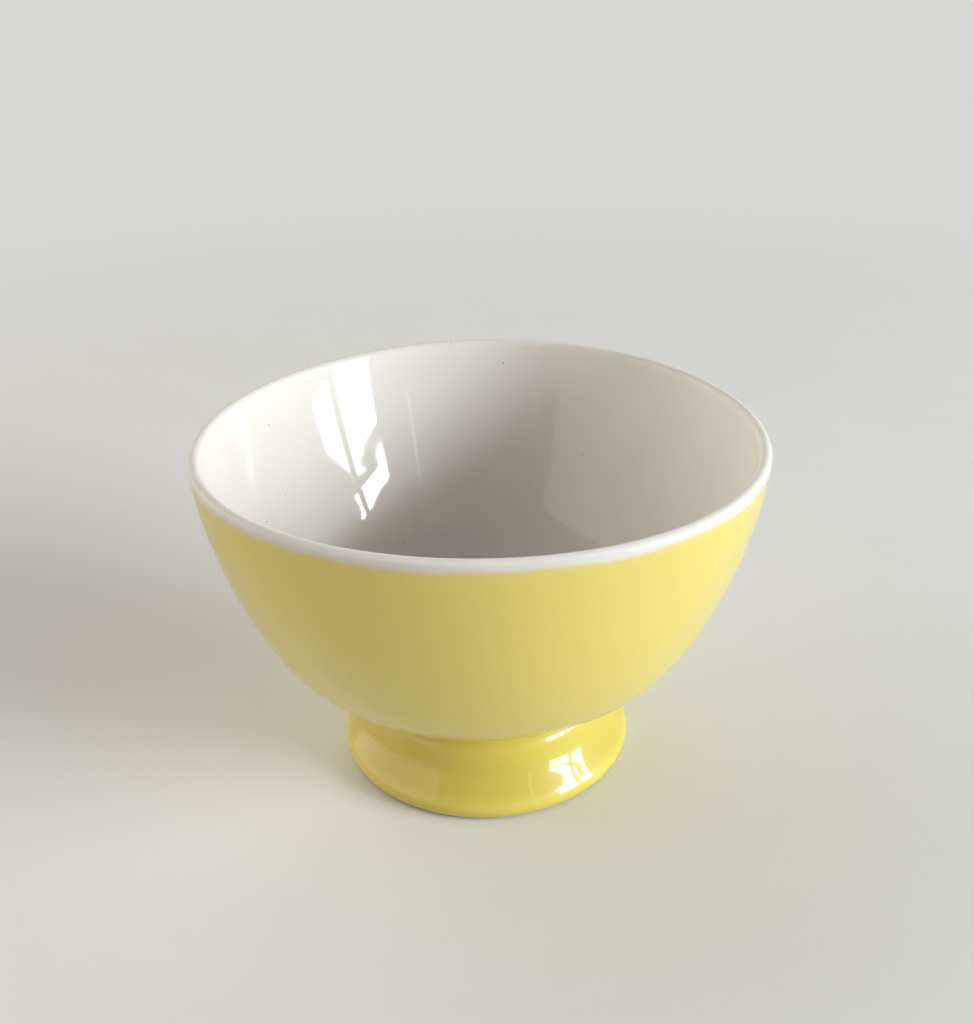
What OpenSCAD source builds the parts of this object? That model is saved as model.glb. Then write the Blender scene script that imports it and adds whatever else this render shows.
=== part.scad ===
// Footed latte bowl: a turned clay bowl on a flared foot ring that was turned
// separately and stuck on with slip, under coats of white and yellow glaze.
// The bowl is round about Z, and its foot stands on z = 0.

/* [Bowl] */
// Outer diameter of the glazed rim
rim_d = 140; // [120:1:160]
// Height of the glazed bowl above the table
bowl_h = 90; // [80:1:100]
// Clay thickness across the lip
lip_t = 2.4; // [2:0.1:3]
// Clay thickness of the wall where it is thickest, low down
wall_t = 4.6; // [3.6:0.1:5.5]
// Clay thickness of the floor on the axis
floor_t = 5.2; // [4.6:0.1:6.5]
// Length of the nearly upright stretch under the rim
rim_reach = 27; // [22:0.5:32]
// How far that stretch leans in towards the axis
rim_lean = 2.3; // [1.5:0.1:4]
// Diameter of the clay belly at the tight turn where it goes under
belly_d = 99.4; // [94:0.2:106]
// Height of that turn
belly_h = 34; // [32:0.5:37]

/* [Foot] */
// Outer diameter of the glazed bead that the bowl stands on
foot_d = 77; // [72:1:84]
// Height of the seam between the bowl and its foot
seam_h = 22; // [20:0.5:26]
// Diameter of the glazed neck above the flare
neck_d = 63; // [60:0.5:66]
// Height of the collar between the seam and the crease under it
collar_h = 4.8; // [4:0.1:5.4]
// How far the collar spreads down to the crease
collar_spread = 0.3; // [0.2:0.1:0.6]
// Height of the nearly upright waist below the crease
waist_h = 5.4; // [4.8:0.1:6]
// How far the waist spreads on its way down
waist_spread = 1.5; // [1.2:0.1:1.9]
// Radius of the bead
bead_r = 3.1; // [2.7:0.1:3.6]
// Inner diameter of the foot ring at the table
hollow_d = 59; // [56:1:60]
// Diameter of the flat part of the hollow's ceiling
ceiling_d = 45; // [40:1:50]
// How far the ceiling is domed on the axis
ceiling_dome = 0.8; // [0.2:0.1:1.5]
// Radius of the inner edge of the foot ring at the table
ring_edge_r = 0.8; // [0.6:0.1:1.2]
// Thickness of the slip that holds the foot ring
slip_t = 0.6; // [0.5:0.1:1]
// How far the slip is smoothed out inside the hollow
slip_fillet = 2.5; // [1.5:0.1:3]

/* [Glaze] */
// Thickness of each coat of glaze
glaze_t = 0.35; // [0.25:0.05:0.45]
// How far the white glaze laps down the outside below the rounded lip
white_lap = 0.6; // [0.4:0.1:3]
// Height of the bare clay below the lower edges of the yellow glaze
bare_h = 0.5; // [0.4:0.05:0.6]

/* [Hidden] */
// Sides of each full turn, and steps along each stretch of the outline
turn_sides = 180;
long_steps = 56;
short_steps = 14;
// Share of a stretch over which its direction is measured
slope_share = 0.001;
// Share of the wall, from the lip down, over which the clay grows to wall_t
swell_share = 0.7;
// Share of the wall, from the lip down, where the inside turns into the floor
turn_share = 0.82;
// Angles from the upright of the wall at the belly's turn and of the
// underside at the neck, going up
belly_tilt = 50;
neck_tilt = 68;
// Length of the wall's handle at that turn, as a share of the wall's span,
// and lengths of the underside's two handles, as shares of its own span
belly_turn_share = 0.12;
under_turn_share = 0.27;
under_neck_share = 0.44;
// Lengths of the floor curve's two handles, as shares of its radius
floor_turn_share = 0.26;
floor_flat_share = 0.5;
// Lengths of the handles of the foot's curves, as shares of their span: the
// waist rolls out of the crease, and the cove turns soon into a straight flare
collar_share = 0.4;
waist_top_share = 0.16;
waist_foot_share = 0.6;
cove_top_share = 0.22;
cove_foot_share = 0.66;
// Angles from the upright of the foot's surface, going down it
crease_tilt = 68;
waist_tilt = 18;
flare_tilt = 37;
// Height of the first handle of the hollow's side, as a share of the seam's
hollow_rise_share = 0.5;
// Length of its second handle, as a share of the hollow's narrowing
hollow_cove_share = 0.9;
// Lengths of the ceiling curve's handles, as a share of its radius
ceiling_share = 0.33;
// Share of its full thickness that the glaze has at a wiped edge, and the
// number of steps over which it thins to that
edge_share = 0.4;
edge_steps = 4;

// Colours of the fired clay, the slip, the liner and the three yellow coats
clay_colour = [0.86, 0.80, 0.70];
slip_colour = [0.80, 0.73, 0.62];
liner_colour = [0.93, 0.91, 0.86];
wall_colour = [0.92, 0.84, 0.47];
foot_colour = [0.86, 0.75, 0.33];

// A point on a curve with four control points, p, at share s of the way
function bezier(p, s) =
    let (q = 1 - s)
    q * q * q * p[0] + 3 * q * q * s * p[1] + 3 * q * s * s * p[2] + s * s * s * p[3];

// A point on a round edge, at share s of the way from angle a to angle b
function round_edge(centre, r, a, b, s) =
    let (angle = a + (b - a) * s)
    centre + r * [cos(angle), sin(angle)];

// Direction in the section that leans out by this angle on its way down
function falling(tilt) = [sin(tilt), -cos(tilt)];

// The same on its way up
function rising(tilt) = [sin(tilt), cos(tilt)];

// The outline of the clay is walked from the middle of the floor out and up
// to the lip, down the outside, round the foot and back to the axis. The
// clay is then always on the right, so the surface faces left. On the axis
// it faces straight up or down.
function facing(curve, s) =
    let (
        step = curve(min(1, s + slope_share)) - curve(max(0, s - slope_share))
    )
    curve(s).x == 0 ? [0, sign(step.x)] : [-step.y, step.x] / norm(step);

// Stations along a stretch of outline: each is a point and its facing
// leaving out the first or the last of them where asked
function stretch(curve, from, to, steps, skip_first = 0, skip_last = 0) = [
    for (i = [skip_first : steps - skip_last])
        let (s = from + (to - from) * i / steps)
        [curve(s), facing(curve, s)]
];

function points_of(stations) = [for (s = stations) s[0]];

function reversed(list) = [for (i = [len(list) - 1 : -1 : 0]) list[i]];

// Corner station between two surfaces, so that coats on both meet along it
function corner(point, face_a, face_b) =
    [point, (face_a + face_b) / (1 + face_a * face_b)];

// Thickness of a coat at station i of n: thinned out at a wiped edge, where
// wiped is 1 for an edge at the last station, -1 at the first and 0 for none
function coat_t(i, n, wiped) =
    let (
        from_edge = wiped > 0 ? n - 1 - i : i,
        thin = min(1, edge_share + (1 - edge_share) * from_edge / edge_steps)
    )
    glaze_t * (wiped == 0 ? 1 : thin);

// Section of a coat of glaze over these stations
function coat(stations, wiped = 0) =
    let (n = len(stations))
    concat(
        points_of(stations),
        reversed([
            for (i = [0 : n - 1])
                stations[i][0] + coat_t(i, n, wiped) * stations[i][1]
        ])
    );

// Lip: a half round of clay, turned to lean with the wall under it
lip_lean = atan2(rim_lean, rim_reach);
lip_r = lip_t / 2;
lip_centre = [rim_d / 2 - glaze_t - lip_r, bowl_h - glaze_t - lip_r];
lip_at = function (s) round_edge(lip_centre, lip_r, 180 - lip_lean, -lip_lean, s);

// Outside of the wall, from the lip down to the belly's turn
belly = [belly_d / 2, belly_h];
wall_span = norm(lip_at(1) - belly);
wall_curve = [
    lip_at(1),
    lip_at(1) - [rim_lean, rim_reach],
    belly + wall_span * belly_turn_share * rising(belly_tilt),
    belly
];
wall_at = function (s) bezier(wall_curve, s);

// Underside, from that turn in to the neck
neck_r = neck_d / 2 - glaze_t;
neck = [neck_r, seam_h];
under_span = norm(belly - neck);
under_curve = [
    belly,
    belly - under_span * under_turn_share * rising(belly_tilt),
    neck + under_span * under_neck_share * rising(neck_tilt),
    neck
];
under_at = function (s) bezier(under_curve, s);

// Share of the way down the wall at which it passes a height
function wall_share(height, low = 0, high = 1, halvings = 24) =
    let (middle = (low + high) / 2)
    halvings == 0 ? middle
    : wall_at(middle).y > height
        ? wall_share(height, middle, high, halvings - 1)
        : wall_share(height, low, middle, halvings - 1);

border_share = wall_share(lip_at(1).y - white_lap);

// Inside of the wall: the outside moved in by a thickness that swells down it
function clay_t(s) = lip_t + (wall_t - lip_t) * sin(90 * min(1, s / swell_share));

inside_at = function (s) wall_at(1 - s) - clay_t(1 - s) * facing(wall_at, 1 - s);

// Floor of the bowl, from the axis out to where the inside of the wall starts
ceiling_h = seam_h + ceiling_dome;
floor_h = ceiling_h + floor_t;
turn = inside_at(1 - turn_share);
turn_facing = facing(inside_at, 1 - turn_share);
floor_curve = [
    [0, floor_h],
    [turn.x * floor_flat_share, floor_h],
    turn - turn.x * floor_turn_share * [turn_facing.y, -turn_facing.x],
    turn
];
floor_at = function (s) bezier(floor_curve, s);

// Outside of the foot: collar, crease, waist, cove and bead
foot_top_h = seam_h - slip_t;
crease = [neck_r + collar_spread, seam_h - collar_h];
waist_foot = crease + [waist_spread, -waist_h];
bead_centre = [foot_d / 2 - glaze_t - bead_r, bead_r];
shoulder = bead_centre + bead_r * [cos(flare_tilt), sin(flare_tilt)];
collar_curve = [
    [neck_r, foot_top_h],
    [neck_r, foot_top_h - (collar_h - slip_t) * collar_share],
    crease + [-collar_spread, collar_spread],
    crease
];
waist_span = norm(waist_foot - crease);
waist_curve = [
    crease,
    crease + waist_span * waist_top_share * falling(crease_tilt),
    waist_foot - waist_span * waist_foot_share * falling(waist_tilt),
    waist_foot
];
cove_span = norm(shoulder - waist_foot);
cove_curve = [
    waist_foot,
    waist_foot + cove_span * cove_top_share * falling(waist_tilt),
    shoulder - cove_span * cove_foot_share * falling(flare_tilt),
    shoulder
];
collar_at = function (s) bezier(collar_curve, s);
waist_at = function (s) bezier(waist_curve, s);
cove_at = function (s) bezier(cove_curve, s);
bead_at = function (s) round_edge(bead_centre, bead_r, flare_tilt, -90, s);

// Share of the bead's edge at which the glaze stops above the table
bead_stop_share = (flare_tilt + asin(1 - bare_h / bead_r)) / (flare_tilt + 90);

// Hollow under the foot: rounded edge, side, smoothed slip and ceiling
hollow_r = hollow_d / 2;
ceiling_r = ceiling_d / 2;
hollow_top = [ceiling_r + slip_fillet, foot_top_h];
edge_centre = [hollow_r + ring_edge_r, ring_edge_r];
edge_at = function (s) round_edge(edge_centre, ring_edge_r, -90, -180, s);
edge_start_share = asin(bare_h / ring_edge_r) / 90;
side_curve = [
    edge_at(1),
    edge_at(1) + [0, seam_h * hollow_rise_share],
    hollow_top + (hollow_r - hollow_top.x) * hollow_cove_share * [1, -slip_t / slip_fillet],
    hollow_top
];
ceiling_curve = [
    [ceiling_r, seam_h],
    [ceiling_r * (1 - ceiling_share), ceiling_h],
    [ceiling_r * ceiling_share, ceiling_h],
    [0, ceiling_h]
];
side_at = function (s) bezier(side_curve, s);
fillet_at = function (s) hollow_top + s * (ceiling_curve[0] - hollow_top);
ceiling_at = function (s) bezier(ceiling_curve, s);

// Stretches of the outline in the order of the walk. Where two stretches
// meet, the point that they share is kept in the first one only.
floor_run = stretch(floor_at, 0, 1, long_steps);
inside_run = stretch(inside_at, 1 - turn_share, 1, long_steps, 1);
lip_run = stretch(lip_at, 0, 1, short_steps, 1);
white_run = stretch(wall_at, 0, border_share, edge_steps, 1);
yellow_run = stretch(wall_at, border_share, 1, long_steps);
under_run = stretch(under_at, 0, 1, short_steps, 1, 1);
neck_run = [corner(neck, facing(under_at, 1), [1, 0])];
collar_run = stretch(collar_at, 0, 1, short_steps);
waist_run = stretch(waist_at, 0, 1, short_steps, 1);
cove_run = stretch(cove_at, 0, 1, short_steps, 1);
bead_run = stretch(bead_at, 0, bead_stop_share, short_steps, 1);
bare_bead_run = stretch(bead_at, bead_stop_share, 1, edge_steps, 1);
bare_edge_run = stretch(edge_at, 0, edge_start_share, edge_steps);
edge_run = stretch(edge_at, edge_start_share, 1, edge_steps);
side_run = stretch(side_at, 0, 1, long_steps, 1);
fillet_run = stretch(fillet_at, 0, 1, 1, 1);
ceiling_run = stretch(ceiling_at, 0, 1, short_steps, 1);

module turned(section) {
    rotate_extrude($fn = turn_sides)
        polygon(section);
}

// Clay bowl, from the middle of its floor over the lip to the seam
module bowl_body() {
    color(clay_colour)
        turned(points_of(concat(
            floor_run, inside_run, lip_run, white_run,
            yellow_run, under_run, neck_run, fillet_run, ceiling_run
        )));
}

// Clay foot ring with its flared outside and its hollow
module foot_ring() {
    color(clay_colour)
        turned(points_of(concat(
            collar_run, waist_run, cove_run, bead_run, bare_bead_run,
            bare_edge_run, edge_run, side_run
        )));
}

// Thin layer of slip between the two, smoothed out inside the hollow
module luting_slip() {
    color(slip_colour)
        turned([neck, [neck_r, foot_top_h], hollow_top, ceiling_curve[0]]);
}

// White coat inside the bowl, over the lip and a little way down outside
module liner_glaze() {
    color(liner_colour)
        turned(coat(concat(floor_run, inside_run, lip_run, white_run)));
}

// Yellow coat on the wall, from the edge of the white coat down to the neck
module wall_glaze() {
    color(wall_colour)
        turned(coat(concat(yellow_run, under_run, neck_run)));
}

// Yellow coat on the foot, wiped off below the bead
module foot_glaze() {
    color(foot_colour)
        turned(coat(concat(neck_run, collar_run, waist_run, cove_run, bead_run), 1));
}

// Yellow coat in the hollow, wiped off at the edge of the ring
module hollow_glaze() {
    color(foot_colour)
        turned(coat(concat(edge_run, side_run, fillet_run, ceiling_run), -1));
}

bowl_body();
foot_ring();
luting_slip();
liner_glaze();
wall_glaze();
foot_glaze();
hollow_glaze();
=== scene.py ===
# %% [markdown]
# # A footed bowl for milky coffee
#
# The bowl is turned clay under three glazes: white inside, yellow on the
# wall, and a deeper yellow on the foot and in the hollow under it. The packed
# solids give its true sizes. This notebook dresses them: it makes each coat
# of glaze as its own skin, as uneven as melted glass lies on clay, and then
# lights it.

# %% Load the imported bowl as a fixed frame
import math

import bpy
import numpy as np
from mathutils import Matrix, Vector


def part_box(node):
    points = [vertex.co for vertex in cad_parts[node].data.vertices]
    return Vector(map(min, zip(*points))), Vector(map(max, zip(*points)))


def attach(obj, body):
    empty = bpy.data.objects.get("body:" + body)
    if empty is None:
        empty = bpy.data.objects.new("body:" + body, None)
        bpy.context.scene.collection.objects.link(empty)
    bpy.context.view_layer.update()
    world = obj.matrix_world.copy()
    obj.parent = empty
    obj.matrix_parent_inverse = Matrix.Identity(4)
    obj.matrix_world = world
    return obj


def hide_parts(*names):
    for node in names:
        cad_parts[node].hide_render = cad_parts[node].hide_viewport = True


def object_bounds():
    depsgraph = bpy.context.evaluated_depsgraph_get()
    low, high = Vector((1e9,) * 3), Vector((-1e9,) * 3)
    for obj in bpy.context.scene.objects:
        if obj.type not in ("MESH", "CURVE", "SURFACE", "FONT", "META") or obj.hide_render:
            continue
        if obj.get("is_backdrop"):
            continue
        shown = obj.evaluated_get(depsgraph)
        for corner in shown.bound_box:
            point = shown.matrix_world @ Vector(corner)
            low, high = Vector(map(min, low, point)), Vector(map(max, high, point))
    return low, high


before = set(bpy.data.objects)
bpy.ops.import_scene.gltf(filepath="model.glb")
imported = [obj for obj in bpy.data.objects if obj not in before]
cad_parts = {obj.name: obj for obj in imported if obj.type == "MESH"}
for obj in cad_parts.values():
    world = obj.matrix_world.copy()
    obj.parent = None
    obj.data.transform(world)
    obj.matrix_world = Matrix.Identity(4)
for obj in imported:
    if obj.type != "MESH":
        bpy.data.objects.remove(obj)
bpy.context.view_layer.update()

# %% [markdown]
# The sizes that the frame can tell are read from it: the boxes of the clay
# and of the glaze over it differ by the thickness of one coat. The others,
# such as where the belly lies, are those that the solids were drawn with, so
# the skins below fit the solids without any fitting by hand.

# %% Read the driving sizes from the solids
mm = 0.001

rim_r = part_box("liner_glaze")[1].x
bowl_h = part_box("liner_glaze")[1].z
glaze_t = bowl_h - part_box("bowl_body")[1].z
seam_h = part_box("luting_slip")[1].z
foot_top_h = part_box("luting_slip")[0].z
neck_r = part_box("luting_slip")[1].x
foot_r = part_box("foot_glaze")[1].x
print(f"rim {2000 * rim_r:.1f} mm across, {1000 * bowl_h:.1f} mm high, coats {1000 * glaze_t:.2f} mm")

# %% [markdown]
# ## The camera
#
# A photographer stood close and looked down into the bowl. The place and the
# tilt below make the rim, the belly and the foot fall where they do in the
# photograph. The camera's axes are set as a matrix, from a heading, a tilt
# and a slight roll, because that is how a hand held camera is described.

# %% Set up the camera
photo_w, photo_h = 974, 1024
focal_px = 1180
camera_back = 267.8 * mm
camera_height = 198 * mm
heading = math.radians(0.32)
tilt_down = math.radians(26.06)
roll = math.radians(-1.22)

view_line = Vector((
    math.sin(heading) * math.cos(tilt_down),
    math.cos(heading) * math.cos(tilt_down),
    -math.sin(tilt_down),
))
level_right = Vector((math.cos(heading), -math.sin(heading), 0))
level_up = level_right.cross(view_line)
camera_right = math.cos(roll) * level_right + math.sin(roll) * level_up
camera_up = camera_right.cross(view_line)

camera_data = bpy.data.cameras.new("camera")
camera_data.sensor_width = 36
camera_data.lens = focal_px * camera_data.sensor_width / max(photo_w, photo_h)
camera_data.clip_start = 10 * mm
camera = bpy.data.objects.new("camera", camera_data)
bpy.context.scene.collection.objects.link(camera)
camera.matrix_world = Matrix.Translation((0, -camera_back, camera_height)) @ Matrix((
    camera_right, camera_up, -view_line,
)).transposed().to_4x4()
bpy.context.scene.camera = camera
print(f"lens {camera_data.lens:.1f} mm")

# %% [markdown]
# ## The outline of the clay
#
# A potter's bowl is one line turned about an axis. That line could be drawn
# as a list of points, but a few curves say more: each handle has a meaning,
# such as how upright the wall starts or how flat the underside runs in. The
# walk goes from the middle of the floor up to the lip, down the outside and
# round the foot, so that the clay is on its right and glaze goes on its left.

# %% Curves in the section: radius first, then height
def bezier(handles, share):
    rest = 1 - share
    a, b, c, d = (np.array(h, float) for h in handles)
    return rest**3 * a + 3 * rest**2 * share * b + 3 * rest * share**2 * c + share**3 * d


def round_edge(centre, radius, start, end, share):
    angle = math.radians(start + (end - start) * share)
    return np.array(centre) + radius * np.array((math.cos(angle), math.sin(angle)))


def leaning(angle, going_up):
    """Direction that leans out by this angle from the upright."""
    turned = math.radians(angle)
    return np.array((math.sin(turned), math.cos(turned) if going_up else -math.cos(turned)))


def walk(curve, start=0.0, end=1.0, steps=90):
    """Points along a curve, and the way that the clay's surface faces at each."""
    shares = np.linspace(start, end, steps + 1)
    points = np.array([curve(s) for s in shares])
    nudge = 0.001
    ahead = np.array([curve(min(1, s + nudge)) - curve(max(0, s - nudge)) for s in shares])
    ahead /= np.linalg.norm(ahead, axis=1)[:, None]
    return points, np.stack([-ahead[:, 1], ahead[:, 0]], axis=1)


# %% [markdown]
# ### Lip, wall and underside
#
# The wall of this bowl starts almost upright, leans in more and more, and
# turns under sharply at the belly. One curve can't turn that sharply, so the
# outside is two curves that share a direction at the belly.

# %% The lip, the wall and the underside
lip_t = 2.4 * mm
lip_r = lip_t / 2
rim_reach, rim_lean = 27 * mm, 2.3 * mm
belly = np.array((49.7 * mm, 34 * mm))
belly_tilt, neck_tilt = 50, 68
belly_turn_share = 0.12
under_turn_share, under_neck_share = 0.27, 0.44

lip_lean = math.degrees(math.atan2(rim_lean, rim_reach))
lip_centre = (rim_r - glaze_t - lip_r, bowl_h - glaze_t - lip_r)


def lip_at(share):
    return round_edge(lip_centre, lip_r, 180 - lip_lean, -lip_lean, share)


wall_top = lip_at(1)
wall_span = np.linalg.norm(wall_top - belly)


def wall_at(share):
    handles = (
        wall_top,
        wall_top - (rim_lean, rim_reach),
        belly + belly_turn_share * wall_span * leaning(belly_tilt, True),
        belly,
    )
    return bezier(handles, share)


neck = np.array((neck_r, seam_h))
under_span = np.linalg.norm(belly - neck)


def under_at(share):
    handles = (
        belly,
        belly - under_turn_share * under_span * leaning(belly_tilt, True),
        neck + under_neck_share * under_span * leaning(neck_tilt, True),
        neck,
    )
    return bezier(handles, share)


# %% [markdown]
# ### The inside
#
# The inside follows the outside at the thickness of the clay, which grows
# from the lip down. Low down it leaves the wall and becomes the floor.

# %% The inside of the wall, and the floor
wall_t, floor_t, ceiling_dome = 4.6 * mm, 5.2 * mm, 0.8 * mm
swell_share, turn_share = 0.7, 0.82
floor_flat_share, floor_turn_share = 0.5, 0.26
ceiling_h = seam_h + ceiling_dome
floor_h = ceiling_h + floor_t


def inside_at(share):
    down = 1 - share
    clay_t = lip_t + (wall_t - lip_t) * math.sin(math.pi / 2 * min(1, down / swell_share))
    point, faces = walk(wall_at, down, down, 0)
    return point[0] - clay_t * faces[0]


turn_point, turn_faces = walk(inside_at, 1 - turn_share, 1 - turn_share, 0)
turn_place = turn_point[0]
turn_along = np.array((turn_faces[0][1], -turn_faces[0][0]))


def floor_at(share):
    handles = (
        (0, floor_h),
        (floor_flat_share * turn_place[0], floor_h),
        turn_place - floor_turn_share * turn_place[0] * turn_along,
        turn_place,
    )
    return bezier(handles, share)


print(f"the floor lies {1000 * floor_h:.1f} mm up")
print(f"it turns into the wall at a radius of {1000 * turn_place[0]:.1f} mm")

# %% [markdown]
# ### The foot
#
# The foot was turned by itself and stuck on. Going down it has a short
# collar, a crease, an upright waist, a flare that is nearly a straight cone,
# and the round bead that the bowl stands on. Inside it is a plain hollow.

# %% The outside of the foot
collar_h, collar_spread = 4.8 * mm, 0.3 * mm
waist_h, waist_spread = 5.4 * mm, 1.5 * mm
bead_r = 3.1 * mm
crease_tilt, waist_tilt, flare_tilt = 68, 18, 37
collar_share, waist_top_share, waist_foot_share = 0.4, 0.16, 0.6
cove_top_share, cove_foot_share = 0.22, 0.66
slip_t = seam_h - foot_top_h
crease = np.array((neck_r + collar_spread, seam_h - collar_h))
waist_foot = crease + (waist_spread, -waist_h)
bead_centre = (foot_r - glaze_t - bead_r, bead_r)
shoulder = round_edge(bead_centre, bead_r, flare_tilt, 0, 0)


def collar_at(share):
    drop = collar_share * (collar_h - slip_t)
    start = np.array((neck_r, foot_top_h))
    return bezier((start, start - (0, drop), crease + (-collar_spread, collar_spread), crease), share)


def waist_at(share):
    span = np.linalg.norm(waist_foot - crease)
    handles = (
        crease,
        crease + waist_top_share * span * leaning(crease_tilt, False),
        waist_foot - waist_foot_share * span * leaning(waist_tilt, False),
        waist_foot,
    )
    return bezier(handles, share)


def cove_at(share):
    span = np.linalg.norm(shoulder - waist_foot)
    handles = (
        waist_foot,
        waist_foot + cove_top_share * span * leaning(waist_tilt, False),
        shoulder - cove_foot_share * span * leaning(flare_tilt, False),
        shoulder,
    )
    return bezier(handles, share)


def bead_at(share):
    return round_edge(bead_centre, bead_r, flare_tilt, -90, share)


# %% The hollow under the floor
hollow_r, ceiling_r = 29.5 * mm, 22.5 * mm
ring_edge_r, slip_fillet = 0.8 * mm, 2.5 * mm
hollow_rise_share, hollow_cove_share, ceiling_share = 0.5, 0.9, 0.33
hollow_top = np.array((ceiling_r + slip_fillet, foot_top_h))


def edge_at(share):
    return round_edge((hollow_r + ring_edge_r, ring_edge_r), ring_edge_r, -90, -180, share)


def side_at(share):
    inward = hollow_cove_share * (hollow_r - hollow_top[0])
    start = edge_at(1)
    handles = (
        start,
        start + (0, hollow_rise_share * seam_h),
        hollow_top + (inward, -inward * slip_t / slip_fillet),
        hollow_top,
    )
    return bezier(handles, share)


def fillet_at(share):
    return hollow_top + share * (np.array((ceiling_r, seam_h)) - hollow_top)


def ceiling_at(share):
    handles = (
        (ceiling_r, seam_h),
        ((1 - ceiling_share) * ceiling_r, ceiling_h),
        (ceiling_share * ceiling_r, ceiling_h),
        (0, ceiling_h),
    )
    return bezier(handles, share)


# %% [markdown]
# ## Glaze over the clay
#
# Glaze goes on as an even coat, then melts. It draws round the corners of
# the clay, gathers in its hollows, and ends in a rounded edge where the
# potter wiped it off. All of that can be worked out on the outline, before
# anything is turned: the coat is moved out from the clay, and then smoothed
# along its length wherever the melt could flow.

# %% Helpers that measure and smooth a line
def join(*walks):
    """One line, with its facings, from several that follow each other."""
    return np.concatenate([w[0] for w in walks]), np.concatenate([w[1] for w in walks])


def along(line):
    """Distance walked at each point of a line."""
    return np.concatenate([[0], np.cumsum(np.linalg.norm(np.diff(line, axis=0), axis=1))])


def evenly(line, spacing):
    walked = along(line)
    marks = np.linspace(0, walked[-1], max(2, round(walked[-1] / spacing)) + 1)
    return np.stack([np.interp(marks, walked, line[:, k]) for k in (0, 1)], axis=1)


def softened(line, reach):
    """The line as a melt of this reach would round it, with its ends held."""
    walked = along(line)
    weights = np.exp(-0.5 * ((walked[:, None] - walked[None, :]) / reach) ** 2)
    smooth = weights @ line / weights.sum(axis=1)[:, None]
    from_end = np.minimum(walked, walked[-1] - walked)
    share = np.clip(from_end / (3 * reach), 0, 1)[:, None]
    return line + (smooth - line) * share


def facings(line):
    ahead = np.gradient(line, axis=0)
    ahead /= np.linalg.norm(ahead, axis=1)[:, None]
    return np.stack([-ahead[:, 1], ahead[:, 0]], axis=1)


def coat_over(clay, edge_at_end=False, edge_at_start=False):
    """The glazed surface over a walk on the clay, rounded off at a wiped edge."""
    points, faces = clay
    walked = along(points)
    thickness = np.full(len(points), glaze_t)
    round_off = 0.9 * mm
    for wiped, distance in ((edge_at_end, walked[-1] - walked), (edge_at_start, walked)):
        if wiped:
            near = np.clip(distance / round_off, 0, 1)
            thickness *= np.sqrt(1 - (1 - near) ** 2)
    return points + thickness[:, None] * faces


# %% [markdown]
# The coats are cut where the potter's work divides them: the white coat ends
# just below the rounded lip, the wall's coat ends at the neck of the foot,
# and the coat on the foot stops half a millimetre above the table.

# %% Where each coat starts and stops
white_lap, bare_h = 0.6 * mm, 0.5 * mm
border_h = wall_top[1] - white_lap
near_top = np.linspace(0, 0.1, 51)
border_share = np.interp(-border_h, [-wall_at(s)[1] for s in near_top], near_top)
under_stop, collar_start = 0.97, 0.12
bead_stop = (flare_tilt + math.degrees(math.asin(1 - bare_h / bead_r))) / (flare_tilt + 90)
edge_start = math.degrees(math.asin(bare_h / ring_edge_r)) / 90

inner_clay = join(walk(floor_at, steps=140), walk(inside_at, 1 - turn_share, 1, 140), walk(lip_at))
white_clay = join(inner_clay, walk(wall_at, 0, border_share, 4))
under_clay = walk(under_at, 0, under_stop, 60)
collar_clay = walk(collar_at, collar_start, 1, 60)
neck_faces = under_clay[1][-1:] + collar_clay[1][:1]
neck_faces = neck_faces / (1 + np.sum(under_clay[1][-1] * collar_clay[1][0]))
neck_clay = (neck[None, :], neck_faces)
wall_clay = join(walk(wall_at, border_share, 1, 200), under_clay, neck_clay)
foot_clay = join(
    neck_clay, collar_clay, walk(waist_at, steps=60), walk(cove_at, steps=60), walk(bead_at, 0, bead_stop)
)
hollow_clay = join(
    walk(edge_at, edge_start, 1, 30), walk(side_at), walk(fillet_at, steps=8), walk(ceiling_at)
)
print("the yellow starts", round(1000 * (bowl_h - border_h), 2), "mm below the rim")

# %% The glazed surface, melted over the neck, the crease and the cove
row_gap, foot_row_gap = 0.8 * mm, 0.22 * mm
melt_reach, gather_reach = 0.6 * mm, 2.2 * mm

white_skin = softened(evenly(coat_over(white_clay), row_gap / 2), melt_reach)
wall_skin = evenly(coat_over(wall_clay), row_gap / 2)
foot_skin = evenly(coat_over(foot_clay, edge_at_end=True), foot_row_gap)
outside = softened(np.concatenate([wall_skin, foot_skin[1:]]), melt_reach)
wall_skin, foot_skin = outside[: len(wall_skin)], outside[len(wall_skin) - 1 :]
hollow_skin = softened(evenly(coat_over(hollow_clay, edge_at_start=True), foot_row_gap * 2), melt_reach)
print(len(white_skin), "rows inside,", len(wall_skin), "on the wall,", len(foot_skin), "on the foot")

# %% [markdown]
# Two things about the glaze are worth noting at each row, because colour and
# gloss will follow them: how far it lies below the lip, and how much glaze
# gathers there. Glaze gathers where a blurred copy of the line lies outside
# the line itself, and runs thin over edges, where it lies inside.

# %% Measure the distance below the lip and where glaze gathers
def gathered(line):
    blurred = softened(line, gather_reach)
    return np.sum((blurred - line) * facings(line), axis=1) / glaze_t


white_below = along(white_skin)
white_below -= white_below[np.argmax(white_skin[:, 0])]
outside_below = along(outside) + white_below[-1]
outside_gather = gathered(outside)
print(f"gathering runs from {outside_gather.min():.2f} to {outside_gather.max():.2f} coats")

# %% [markdown]
# ## Turning a section on a wheel, in Geometry Nodes
#
# Screw or Spin would turn the section too, but a node tree can do more in
# the same pass. It lays a grid, one row for each point of the section and
# one column for each step of the turn, and puts every vertex in place. It
# then pushes the glazed rows in and out a little, as a melt lies uneven, and
# bends the rim, because a bowl of this kind moves slightly in the kiln. Each
# coat and the clay under it go through the same tree, so they stay nested.

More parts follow.
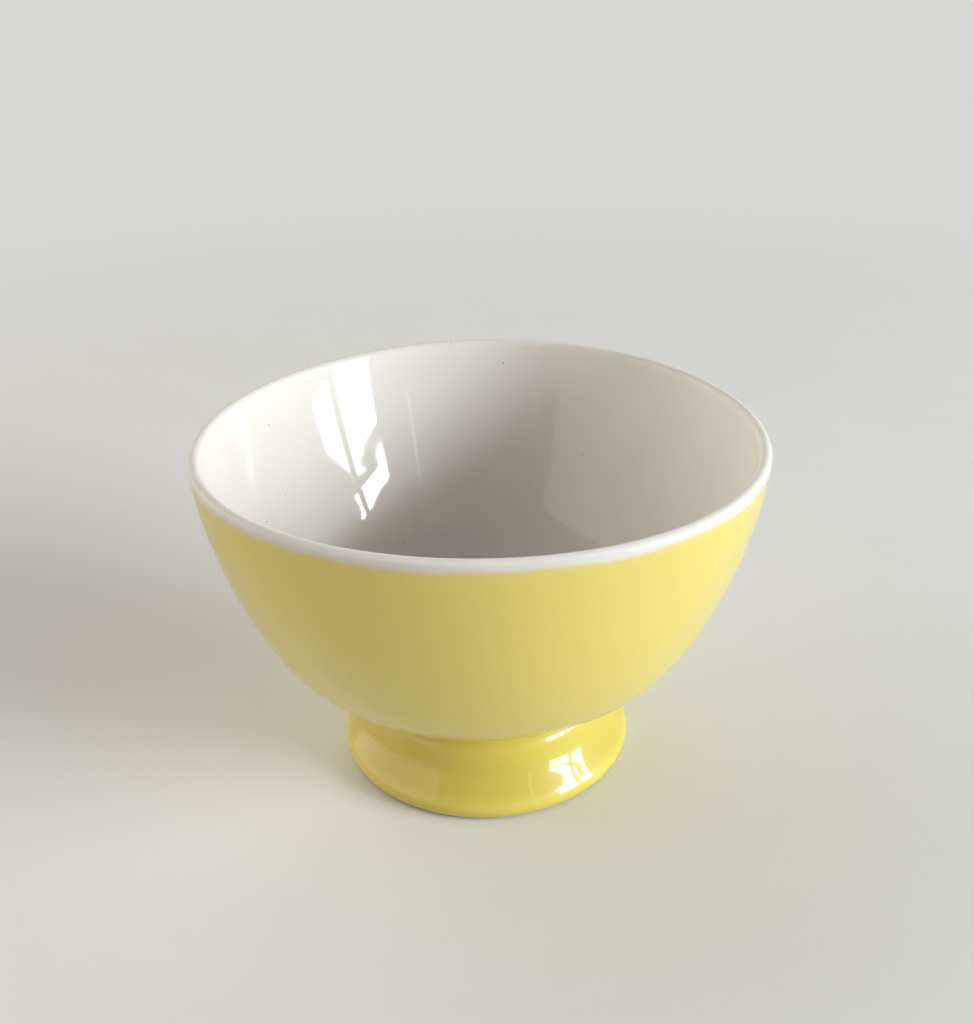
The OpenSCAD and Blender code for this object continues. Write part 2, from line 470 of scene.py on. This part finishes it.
# %% A helper that adds one node to any tree
def put(tree, kind, inputs=None, **settings):
    node = tree.nodes.new(kind)
    for name, value in settings.items():
        setattr(node, name, value)
    for key, value in (inputs or {}).items():
        if isinstance(value, bpy.types.NodeSocket):
            tree.links.new(value, node.inputs[key])
        else:
            node.inputs[key].default_value = value
    return node


def calc(tree, operation, *values, clamp=False):
    node = put(tree, "ShaderNodeMath", dict(enumerate(values)), operation=operation, use_clamp=clamp)
    return node.outputs[0]


def calc_vector(tree, operation, *values):
    node = put(tree, "ShaderNodeVectorMath", dict(enumerate(values)), operation=operation)
    return node.outputs["Value" if operation in ("DOT_PRODUCT", "LENGTH") else "Vector"]


# %% The inputs of the wheel
wheel = bpy.data.node_groups.new("potters_wheel", "GeometryNodeTree")
wheel.interface.new_socket("Section", in_out="INPUT", socket_type="NodeSocketGeometry")
wheel.interface.new_socket("Turned", in_out="OUTPUT", socket_type="NodeSocketGeometry")
knobs = {}
for knob, kind, value in (
    ("Steps round", "NodeSocketInt", 288),
    ("Unevenness", "NodeSocketFloat", 0.05 * mm),
    ("Unevenness width", "NodeSocketFloat", 16 * mm),
    ("Seed", "NodeSocketFloat", 3.0),
    ("Saddle", "NodeSocketFloat", 0.5 * mm),
    ("Saddle heading", "NodeSocketFloat", math.radians(75)),
    ("Oval", "NodeSocketFloat", 0.2 * mm),
    ("Oval heading", "NodeSocketFloat", math.radians(-55)),
    ("Three corners", "NodeSocketFloat", 0.3 * mm),
    ("Corner heading", "NodeSocketFloat", math.radians(-38)),
    ("Still height", "NodeSocketFloat", float(belly[1])),
    ("Rim height", "NodeSocketFloat", float(bowl_h)),
    ("Material", "NodeSocketMaterial", None),
):
    socket = wheel.interface.new_socket(knob, in_out="INPUT", socket_type=kind)
    if value is not None:
        socket.default_value = value
    knobs[knob] = socket.identifier
wheel_in = put(wheel, "NodeGroupInput").outputs
print(len(knobs), "named inputs on the wheel")

# %% Lay the grid and turn each row of the section
points = put(wheel, "GeometryNodeAttributeDomainSize", {0: wheel_in["Section"]}).outputs["Point Count"]


def whole(operation, a, b):
    return put(wheel, "FunctionNodeIntegerMath", {0: a, 1: b}, operation=operation).outputs[0]


columns = whole("ADD", wheel_in["Steps round"], 1)
grid = put(wheel, "GeometryNodeMeshGrid", {
    "Size X": 1.0, "Size Y": 1.0, "Vertices X": whole("ADD", points, 1), "Vertices Y": columns,
}).outputs["Mesh"]
index = put(wheel, "GeometryNodeInputIndex").outputs[0]
section_row = whole("FLOORED_MODULO", whole("DIVIDE_FLOOR", index, columns), points)
step = whole("FLOORED_MODULO", index, columns)
turned_by = calc(wheel, "DIVIDE", calc(wheel, "MULTIPLY", step, math.tau), wheel_in["Steps round"])


def from_section(value, kind):
    sample = put(wheel, "GeometryNodeSampleIndex", data_type=kind, domain="POINT")
    wheel.links.new(wheel_in["Section"], sample.inputs["Geometry"])
    wheel.links.new(value, sample.inputs["Value"])
    wheel.links.new(section_row, sample.inputs["Index"])
    return sample.outputs[0]


def noted(name, kind):
    return put(wheel, "GeometryNodeInputNamedAttribute", {"Name": name}, data_type=kind).outputs[0]


def turned(vector):
    return put(
        wheel, "ShaderNodeVectorRotate", {"Vector": vector, "Angle": turned_by}, rotation_type="Z_AXIS"
    ).outputs[0]


section_place = put(wheel, "GeometryNodeInputPosition").outputs[0]
place = turned(from_section(section_place, "FLOAT_VECTOR"))
faces_way = turned(from_section(noted("faces", "FLOAT_VECTOR"), "FLOAT_VECTOR"))

# %% Push the melt in and out, and bend the rim
bend_growth = 2.5
ripples = put(wheel, "ShaderNodeTexNoise", {
    "Vector": place, "W": wheel_in["Seed"], "Detail": 2.0, "Roughness": 0.35,
    "Scale": calc(wheel, "DIVIDE", 1.0, wheel_in["Unevenness width"]),
}, noise_dimensions="4D").outputs[0]
push = calc(wheel, "MULTIPLY", calc(wheel, "SUBTRACT", ripples, 0.5), 2.0)
push = calc(wheel, "MULTIPLY", push, wheel_in["Unevenness"])
melted = calc_vector(wheel, "ADD", place, put(
    wheel, "ShaderNodeVectorMath", {0: faces_way, "Scale": push}, operation="SCALE"
).outputs[0])

split = put(wheel, "ShaderNodeSeparateXYZ", {0: place}).outputs
round_the_rim = calc(wheel, "ARCTAN2", split["Y"], split["X"])
height_share = put(wheel, "ShaderNodeMapRange", {
    "Value": split["Z"], "From Min": wheel_in["Still height"], "From Max": wheel_in["Rim height"],
}).outputs[0]
bend_share = calc(wheel, "POWER", height_share, bend_growth)


def wave(times, size, heading_input):
    angle = calc(wheel, "SUBTRACT", round_the_rim, wheel_in[heading_input])
    swing = calc(wheel, "COSINE", calc(wheel, "MULTIPLY", angle, float(times)))
    return calc(wheel, "MULTIPLY", calc(wheel, "MULTIPLY", swing, wheel_in[size]), bend_share)


lift = wave(2, "Saddle", "Saddle heading")
outward = calc(wheel, "ADD", wave(2, "Oval", "Oval heading"), wave(3, "Three corners", "Corner heading"))
from_axis = calc_vector(wheel, "NORMALIZE", put(
    wheel, "ShaderNodeCombineXYZ", {"X": split["X"], "Y": split["Y"], "Z": 0.0}
).outputs[0])
bend = calc_vector(wheel, "ADD", put(
    wheel, "ShaderNodeVectorMath", {0: from_axis, "Scale": outward}, operation="SCALE"
).outputs[0], put(wheel, "ShaderNodeCombineXYZ", {"Z": lift}).outputs[0])
final_place = calc_vector(wheel, "ADD", melted, bend)

# %% Close the turn, keep the notes and give it its material
merge_gap = 0.002 * mm
shape = put(wheel, "GeometryNodeSetPosition", {"Geometry": grid, "Position": final_place}).outputs[0]
for label in ("below_lip", "gathers"):
    shape = put(wheel, "GeometryNodeStoreNamedAttribute", {
        "Geometry": shape, "Name": label, "Value": from_section(noted(label, "FLOAT"), "FLOAT"),
    }, data_type="FLOAT", domain="POINT").outputs[0]
shape = put(wheel, "GeometryNodeMergeByDistance", {"Geometry": shape, "Distance": merge_gap}).outputs[0]
shape = put(wheel, "GeometryNodeSetShadeSmooth", {"Geometry": shape}).outputs[0]
shape = put(wheel, "GeometryNodeRealizeInstances", {"Geometry": shape}).outputs[0]
shape = put(wheel, "GeometryNodeSetMaterial", {
    "Geometry": shape, "Material": wheel_in["Material"],
}).outputs[0]
put(wheel, "NodeGroupOutput", {"Turned": shape})
print(len(wheel.nodes), "nodes in the wheel")

# %% [markdown]
# A section goes in as loose points that carry their notes, and comes out as
# a closed, plain mesh. The side towards the clay needs fewer rows, because
# nobody sees it, but it is there: the coat is a solid layer of glass.

# %% Turn one section into a piece
on_axis, sharp_edge = 0.01 * mm, math.radians(50)


def turn(name, skin, clay, below, gathers, material, slot, nodes, **settings):
    back = evenly(clay[0], 2 * row_gap)[::-1] if clay is not None else np.zeros((0, 2))
    line = np.concatenate([skin, back])
    hidden = np.zeros(len(back))
    mesh = bpy.data.meshes.new(name + "_section")
    mesh.from_pydata([(r, 0, z) for r, z in line], [], [])
    faces = np.zeros((len(line), 3))
    faces[: len(skin), [0, 2]] = facings(skin)
    faces[np.abs(line[:, 0]) < on_axis, 0] = 0
    mesh.attributes.new("faces", "FLOAT_VECTOR", "POINT").data.foreach_set("vector", faces.ravel())
    for label, values in (("below_lip", below), ("gathers", gathers)):
        values = np.concatenate([values, hidden])
        mesh.attributes.new(label, "FLOAT", "POINT").data.foreach_set("value", values)
    section = bpy.data.objects.new(name + "_section", mesh)
    bpy.context.scene.collection.objects.link(section)
    modifier = section.modifiers.new("wheel", "NODES")
    modifier.node_group = wheel
    modifier[knobs["Material"]] = material
    for knob, value in settings.items():
        modifier[knobs[knob.replace("_", " ")]] = value
    depsgraph = bpy.context.evaluated_depsgraph_get()
    made = bpy.data.meshes.new_from_object(section.evaluated_get(depsgraph), depsgraph=depsgraph)
    bpy.data.objects.remove(section)
    made.set_sharp_from_angle(angle=sharp_edge)
    made.name = name
    piece = bpy.data.objects.new(name, made)
    bpy.context.scene.collection.objects.link(piece)
    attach(piece, "root")
    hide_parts(*nodes)
    made.calc_loop_triangles()
    corners = np.array([made.vertices[v].co for t in made.loop_triangles for v in t.vertices])
    corners = corners.reshape(-1, 3, 3)
    volume = np.sum(np.cross(corners[:, 0], corners[:, 1]) * corners[:, 2]) / 6
    print(f"{name}: {len(made.loop_triangles)} triangles, {volume * 1e9:.0f} mm3")


# %% [markdown]
# ## Glazes
#
# Glaze is glass, so each of these materials is a smooth, clear-edged gloss
# over a colour. What makes it look fired is what varies: fine specks, slow
# clouds of colour, and a border where one glaze melts into the other.
# The border is worked out in one place, and the white and the yellow use the
# same one, so that it runs unbroken over both coats. The wall and the foot
# also have a faint, soft sheen over their gloss, and the white coat swells
# slowly down from the lip, which the window mirrored in it gives away.

# %% Helpers for patterns on the surface
def new_material(name):
    material = bpy.data.materials.new(name)
    material.use_nodes = True
    tree = material.node_tree
    surface = tree.nodes["Principled BSDF"]
    return material, tree, surface


def place_of(tree):
    return put(tree, "ShaderNodeTexCoord").outputs["Object"]


def height_of(tree):
    return put(tree, "ShaderNodeSeparateXYZ", {0: place_of(tree)}).outputs["Z"]


def noise(tree, width, detail=2.0, vector=None, seed=0.0):
    """Soft noise from 0 to 1 whose clouds are about this wide."""
    return put(tree, "ShaderNodeTexNoise", {
        "Vector": place_of(tree) if vector is None else vector,
        "W": seed, "Scale": 1 / width, "Detail": detail,
    }, noise_dimensions="4D").outputs[0]


def swinging(tree, width, swing, detail, vector=None, seed=0.0):
    """Soft noise to both sides of zero, times a swing."""
    centred = calc(tree, "SUBTRACT", noise(tree, width, detail, vector, seed), 0.5)
    return calc(tree, "MULTIPLY", centred, swing)


def ramp(tree, value, low, high, to_low=0.0, to_high=1.0, smooth=True):
    return put(tree, "ShaderNodeMapRange", {
        "Value": value, "From Min": low, "From Max": high, "To Min": to_low, "To Max": to_high,
    }, interpolation_type="SMOOTHSTEP" if smooth else "LINEAR").outputs[0]


def mixed(tree, share, a, b, blend="MIX"):
    node = put(tree, "ShaderNodeMix", {0: share}, data_type="RGBA", blend_type=blend)
    for socket, value in ((node.inputs[6], a), (node.inputs[7], b)):
        if isinstance(value, bpy.types.NodeSocket):
            tree.links.new(value, socket)
        else:
            socket.default_value = (*value, 1)
    return node.outputs[2]


def note(tree, name):
    return put(tree, "ShaderNodeAttribute", attribute_name=name).outputs["Fac"]


# %% The border where the yellow melts into the white
wall_colour = (0.62, 0.503, 0.117)
foot_colour = (0.54, 0.43, 0.05)
deep_colour, thin_colour = (0.42, 0.31, 0.025), (0.66, 0.54, 0.10)
border_below, border_drift = 0.45 * mm, 0.2 * mm
drift_heading = math.radians(-30)
slow_wave, slow_swing = 22 * mm, 2.4 * mm
quick_wave, quick_swing = 5 * mm, 1.3 * mm
melt_above, melt_below, melt_cover = 0.9 * mm, 0.8 * mm, 0.9
fade_reach = 2.5 * mm


def yellow_share(tree):
    """0 on bare white, 1 where the yellow covers it."""
    flat = calc_vector(tree, "MULTIPLY", place_of(tree), (1, 1, 0))
    heading = (math.cos(drift_heading) / rim_r, math.sin(drift_heading) / rim_r, 0)
    drift = calc(tree, "MULTIPLY", calc_vector(tree, "DOT_PRODUCT", flat, heading), border_drift)
    slow = swinging(tree, slow_wave, slow_swing, 1.0, flat)
    quick = swinging(tree, quick_wave, quick_swing, 2.0, flat)
    edge = calc(tree, "ADD", calc(tree, "ADD", drift, slow), calc(tree, "ADD", quick, border_below))
    below = calc(tree, "SUBTRACT", note(tree, "below_lip"), edge)
    sharp = ramp(tree, below, -melt_above, melt_below, 0.0, melt_cover)
    slow_fade = ramp(tree, below, 0.0, fade_reach, 0.0, 1 - melt_cover)
    return calc(tree, "ADD", sharp, slow_fade)


# %% The yellow, deeper on the foot and where glaze gathers
foot_tone_from, foot_tone_to = seam_h + 0.5 * mm, seam_h - 3.5 * mm
cloud_width, cloud_swing = 17 * mm, 0.45
mottle_width, mottle_swing = 2.5 * mm, 0.15
gather_weight = 0.35
deepest, thinnest = 1.0, -0.6


def yellow_of(tree):
    on_foot = ramp(tree, height_of(tree), foot_tone_from, foot_tone_to)
    colour = mixed(tree, on_foot, wall_colour, foot_colour)
    clouds = swinging(tree, cloud_width, cloud_swing, 3.0, seed=4.0)
    mottles = swinging(tree, mottle_width, mottle_swing, 2.0, seed=9.0)
    depth = calc(tree, "ADD", clouds, mottles)
    depth = calc(tree, "ADD", depth, calc(tree, "MULTIPLY", note(tree, "gathers"), gather_weight))
    colour = mixed(tree, ramp(tree, depth, 0.0, deepest), colour, deep_colour)
    return mixed(tree, ramp(tree, depth, 0.0, thinnest), colour, thin_colour)


# %% The white tin glaze, and the yellow over it
# The third white and the three lip sizes paint shade on the lip: a greyer white in a band round the
# rounded lip, where it turns up away from the low window light.
light_white, warm_white, shaded_lip_white = (0.75, 0.72, 0.66), (0.73, 0.695, 0.635), (0.62, 0.59, 0.545)
white_cloud, gloss_cloud, peel_width = 24 * mm, 9 * mm, 2.2 * mm
lip_shade_at, lip_shade_core, lip_shade_reach = 0.5 * mm, 1.0 * mm, 2.2 * mm
speck_colour, speck_weight = (0.10, 0.075, 0.05), 0.75
speck_gap, speck_share = 3.8 * mm, 0.06
swell_top, swell_reach, swell_size = 3 * mm, 36 * mm, 1.2 * mm
gloss_spread, sheen_roughness = 0.03, 0.4


def glaze_material(name, base, gloss, tremble, sheen=0.0):
    material, tree, surface = new_material(name)
    white = mixed(tree, noise(tree, white_cloud, 3.0, seed=2.0), light_white, warm_white)
    # Painted shade: the white turns greyer within about two millimetres of a line just below the lip's
    # outer edge.
    from_lip_shade = calc(tree, "ABSOLUTE", calc(tree, "SUBTRACT", note(tree, "below_lip"), lip_shade_at))
    white = mixed(tree, ramp(tree, from_lip_shade, lip_shade_reach, lip_shade_core), white, shaded_lip_white)
    colour = mixed(tree, yellow_share(tree), white, yellow_of(tree))
    if base == "white":
        cells = put(tree, "ShaderNodeTexVoronoi", {"Vector": place_of(tree), "Scale": 1 / speck_gap})
        size = put(tree, "ShaderNodeSeparateColor", {0: cells.outputs["Color"]}).outputs[0]
        reach = ramp(tree, size, 0.5, 1.0, 0.0, speck_share, smooth=False)
        speck = calc(tree, "LESS_THAN", cells.outputs["Distance"], reach)
        colour = mixed(tree, calc(tree, "MULTIPLY", speck, speck_weight), colour, speck_colour)
    tree.links.new(colour, surface.inputs["Base Color"])
    gloss_clouds = noise(tree, gloss_cloud, 3.0, seed=6.0)
    rough = ramp(tree, gloss_clouds, 0.3, 0.7, gloss, gloss + gloss_spread)
    tree.links.new(rough, surface.inputs["Roughness"])
    peel = noise(tree, peel_width, 2.0, seed=7.0)
    bump = put(tree, "ShaderNodeBump", {"Height": peel, "Strength": 1.0, "Distance": tremble})
    if base == "white":
        swell = ramp(tree, note(tree, "below_lip"), swell_top, -swell_reach)
        lean = put(tree, "ShaderNodeBump", {"Height": swell, "Strength": 1.0, "Distance": swell_size})
        tree.links.new(lean.outputs[0], bump.inputs["Normal"])
    tree.links.new(bump.outputs[0], surface.inputs["Normal"])
    surface.inputs["IOR"].default_value = 1.5
    surface.inputs["Coat Weight"].default_value = sheen
    surface.inputs["Coat Roughness"].default_value = sheen_roughness
    return material


white_glaze = glaze_material("white_tin_glaze", "white", 0.03, 0.004 * mm)
wall_glaze = glaze_material("yellow_wall_glaze", "yellow", 0.16, 0.004 * mm, sheen=0.25)
foot_glaze = glaze_material("yellow_foot_glaze", "yellow", 0.05, 0.003 * mm, sheen=0.5)
print("glazes:", white_glaze.name, wall_glaze.name, foot_glaze.name)

# %% [markdown]
# ### Bare clay
#
# Clay shows only on the ring that the bowl stands on, where the glaze was
# wiped off so that it wouldn't stick to the kiln shelf. It is matt and a
# little sandy, and it has gone grey where it has rubbed on tables.

# %% The fired clay and the slip
grain_width, clay_cloud, grain_depth = 0.5 * mm, 11 * mm, 0.08 * mm
rub_h, rub_weight, rubbed_colour = 0.25 * mm, 0.45, (0.30, 0.27, 0.23)


def clay_material(name, light, dark):
    material, tree, surface = new_material(name)
    grain = noise(tree, grain_width, 3.0)
    clouds = noise(tree, clay_cloud, 3.0, seed=5.0)
    tone = calc(tree, "ADD", calc(tree, "MULTIPLY", grain, 0.5), calc(tree, "MULTIPLY", clouds, 0.5))
    colour = mixed(tree, ramp(tree, tone, 0.3, 0.7), dark, light)
    rubbed = calc(tree, "MULTIPLY", ramp(tree, height_of(tree), rub_h, 0.0), ramp(tree, grain, 0.35, 0.6))
    colour = mixed(tree, calc(tree, "MULTIPLY", rubbed, rub_weight), colour, rubbed_colour)
    tree.links.new(colour, surface.inputs["Base Color"])
    bump = put(tree, "ShaderNodeBump", {"Height": grain, "Strength": 0.6, "Distance": grain_depth})
    tree.links.new(bump.outputs[0], surface.inputs["Normal"])
    surface.inputs["Roughness"].default_value = 0.85
    return material


fired_clay = clay_material("fired_clay", (0.70, 0.60, 0.45), (0.58, 0.47, 0.34))
slip_clay = clay_material("slip_clay", (0.60, 0.50, 0.38), (0.50, 0.40, 0.29))
for node, material in (("foot_ring", fired_clay), ("luting_slip", slip_clay)):
    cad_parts[node].data.materials.clear()
    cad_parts[node].data.materials.append(material)

# %% [markdown]
# ## The pieces
#
# Clay and coats are turned one after another. The clay bowl is turned again
# too, since its rim bends with the coats on it; the foot ring and the slip
# are right as they came, and only needed their clay.

# %% Turn the clay bowl and the four coats of glaze
body_clay = join(inner_clay, walk(wall_at, 0, 1, 200), under_clay, neck_clay, walk(ceiling_at, 0, 1, 60))
body_line = evenly(body_clay[0], row_gap)
turn(
    "clay_bowl", body_line, None, np.zeros(len(body_line)), np.zeros(len(body_line)),
    fired_clay, "fired_clay", ["bowl_body"], Unevenness=0.0,
)
turn(
    "white_glaze_inside", white_skin, white_clay, white_below, np.zeros(len(white_skin)),
    white_glaze, "white_glaze", ["liner_glaze"],
)
turn(
    "yellow_glaze_on_wall", wall_skin, wall_clay, outside_below[: len(wall_skin)],
    outside_gather[: len(wall_skin)], wall_glaze, "yellow_wall_glaze", ["wall_glaze"],
)
turn(
    "yellow_glaze_on_foot", foot_skin, foot_clay, outside_below[len(wall_skin) - 1 :],
    outside_gather[len(wall_skin) - 1 :], foot_glaze, "yellow_foot_glaze", ["foot_glaze"],
)
turn(
    "yellow_glaze_in_hollow", hollow_skin, hollow_clay, np.full(len(hollow_skin), bowl_h),
    gathered(hollow_skin), foot_glaze, "yellow_foot_glaze", ["hollow_glaze"],
)

# %% [markdown]
# ## Floor and light
#
# The floor is plain and pale, and fades away from the bowl to one even tone,
# that of the background, so that no edge shows between them. A fade in the
# material does that with one piece of floor; a curved studio paper would do
# it too, but it would stand in the way of the light that comes from behind.

# %% The floor
floor_reach, floor_cloud = 7, 60 * mm
fade_start, fade_end = 0.25, 0.75
floor_dark, floor_light, far_tone = (0.72, 0.72, 0.705), (0.75, 0.75, 0.735), (0.68, 0.68, 0.67)

floor_mesh = bpy.data.meshes.new("floor")
floor_mesh.from_pydata(
    [(-floor_reach, -floor_reach, 0), (floor_reach, -floor_reach, 0), (floor_reach, floor_reach, 0),
     (-floor_reach, floor_reach, 0)], [], [(0, 1, 2, 3)],
)
floor = bpy.data.objects.new("floor", floor_mesh)
bpy.context.scene.collection.objects.link(floor)
floor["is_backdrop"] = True
floor_material, floor_tree, floor_surface = new_material("pale_floor")
floor_tone = mixed(floor_tree, noise(floor_tree, floor_cloud, 3.0), floor_dark, floor_light)
floor_tree.links.new(floor_tone, floor_surface.inputs["Base Color"])
floor_surface.inputs["Roughness"].default_value = 0.7
distance = calc_vector(floor_tree, "LENGTH", place_of(floor_tree))
far_away = ramp(floor_tree, distance, fade_start, fade_end)
even_tone = put(floor_tree, "ShaderNodeEmission", {"Color": (*far_tone, 1), "Strength": 1.0})
fade = put(floor_tree, "ShaderNodeMixShader", {
    0: far_away, 1: floor_surface.outputs[0], 2: even_tone.outputs[0],
})
floor_tree.links.new(fade.outputs[0], floor_tree.nodes["Material Output"].inputs["Surface"])
floor.data.materials.append(floor_material)

# %% [markdown]
# The light is that of a quiet room by day. A window stands at the right and
# a little in front, with a glazing bar across it and one up it, and its panes
# show in the gloss of the foot and inside the bowl. A dim pale screen fills
# the left, and two narrow gaps of light leave fine streaks in the white.

# %% The lamps
def lamp_panel(name, azimuth, distance, across, low, high, radiance, colour):
    """An upright lamp that faces the bowl, from these offsets across and up."""
    lamp = bpy.data.lights.new(name, "AREA")
    lamp.shape = "RECTANGLE"
    lamp.size, lamp.size_y = across[1] - across[0], high - low
    # An area lamp's power is four times its area for each unit of radiance.
    lamp.energy = 4 * lamp.size * lamp.size_y * radiance
    lamp.color = colour
    holder = bpy.data.objects.new(name, lamp)
    turned_to = math.radians(azimuth)
    outward = Vector((math.cos(turned_to), math.sin(turned_to), 0))
    sideways = Vector((-outward.y, outward.x, 0))
    upward = Vector((0, 0, 1))
    centre = outward * distance + sideways * (across[0] + across[1]) / 2 + upward * (low + high) / 2
    holder.matrix_world = Matrix.Translation(centre) @ Matrix((
        sideways, upward, outward,
    )).transposed().to_4x4()
    bpy.context.scene.collection.objects.link(holder)


daylight, paper_light = (0.88, 1.0, 1.14), (1.05, 0.98, 0.86)
window_heading, window_distance = -23, 1.3
for sash, low, high, radiance in (("lower", 0.0, 0.472, 9.6), ("upper", 0.518, 0.61, 30.0)):
    for side, across in (("left", (0.125, 0.360)), ("right", (-0.348, 0.050))):
        pane = f"window_{side}_{sash}"
        lamp_panel(pane, window_heading, window_distance, across, low, high, radiance, daylight)
lamp_panel("screen_left", -172, 1.2, (-1.1, 1.1), 0.0, 1.0, 0.66, paper_light)
lamp_panel("gap_right", 40, 0.9, (-0.010, 0.004), 0.0, 0.09, 9.0, daylight)
lamp_panel("gap_front", -55, 1.1, (-0.004, 0.004), 0.35, 0.75, 5.0, daylight)

# %% [markdown]
# The room does the rest, as the world's light: it is brightest round the
# window, pale behind the bowl and dark in front of it, where the photographer
# stands, and that is what gives the inside of the bowl its depth. It only
# gives light. The camera, and whatever is mirrored or seen through, meets one
# pale tone instead, like that of the far floor.

# %% The room's own light
world = bpy.data.worlds.new("studio")
bpy.context.scene.world = world
world.use_nodes = True
sky = world.node_tree
background = sky.nodes["Background"]
direction = put(sky, "ShaderNodeTexCoord").outputs["Generated"]
upwards = put(sky, "ShaderNodeSeparateXYZ", {0: direction}).outputs[2]


def towards(azimuth):
    """1 level with the bowl at this azimuth, 0 square to it and overhead."""
    turned_to = math.radians(azimuth)
    return calc_vector(sky, "DOT_PRODUCT", direction, (math.cos(turned_to), math.sin(turned_to), 0))


halo_heading, behind_heading = -12, 135
window_glow, halo_glow, behind_glow, dark_room = 8.0, 0.9, 1.6, 0.08
seen_tone = 0.68

# Heights in these ramps are sines, and headings are cosines.
low_down = ramp(sky, upwards, 0.56, 0.44)
level_part = calc(sky, "SQRT", calc(sky, "SUBTRACT", 1.0, calc(sky, "MULTIPLY", upwards, upwards)))
square_on = calc(sky, "DIVIDE", towards(window_heading), level_part)
high_up = calc(sky, "MULTIPLY", ramp(sky, upwards, 0.1, 0.3), ramp(sky, upwards, 0.52, 0.4))
near_window = calc(sky, "MULTIPLY", ramp(sky, square_on, 0.93, 0.985, 0.0, window_glow), high_up)
halo = calc(sky, "MULTIPLY", ramp(sky, towards(halo_heading), 0.35, 0.9, 0.0, halo_glow), low_down)
from_behind = ramp(sky, towards(behind_heading), 0.1, 0.7, 0.0, behind_glow)
behind = calc(sky, "MULTIPLY", from_behind, ramp(sky, upwards, 0.95, 0.75))
strength = calc(sky, "ADD", calc(sky, "ADD", near_window, halo), calc(sky, "ADD", behind, dark_room))
rays = put(sky, "ShaderNodeLightPath").outputs
is_mirrored = calc(sky, "MAXIMUM", rays["Is Glossy Ray"], rays["Is Transmission Ray"])
is_seen = calc(sky, "MAXIMUM", rays["Is Camera Ray"], is_mirrored)
strength = put(sky, "ShaderNodeMix", {0: is_seen, 2: strength, 3: seen_tone}).outputs[0]
sky.links.new(strength, background.inputs["Strength"])
sky.links.new(mixed(sky, is_seen, (1.0, 0.965, 0.89), (1.0, 1.0, 0.985)), background.inputs["Color"])
bpy.context.scene.view_settings.view_transform = "Standard"

# %% [markdown]
# ## The box of the dressed bowl
#
# The last cell prints the box of the dressed bowl.

# %% Print the box of the dressed bowl
low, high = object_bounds()
print("dressed bowl from", tuple(low), "to", tuple(high), "m")
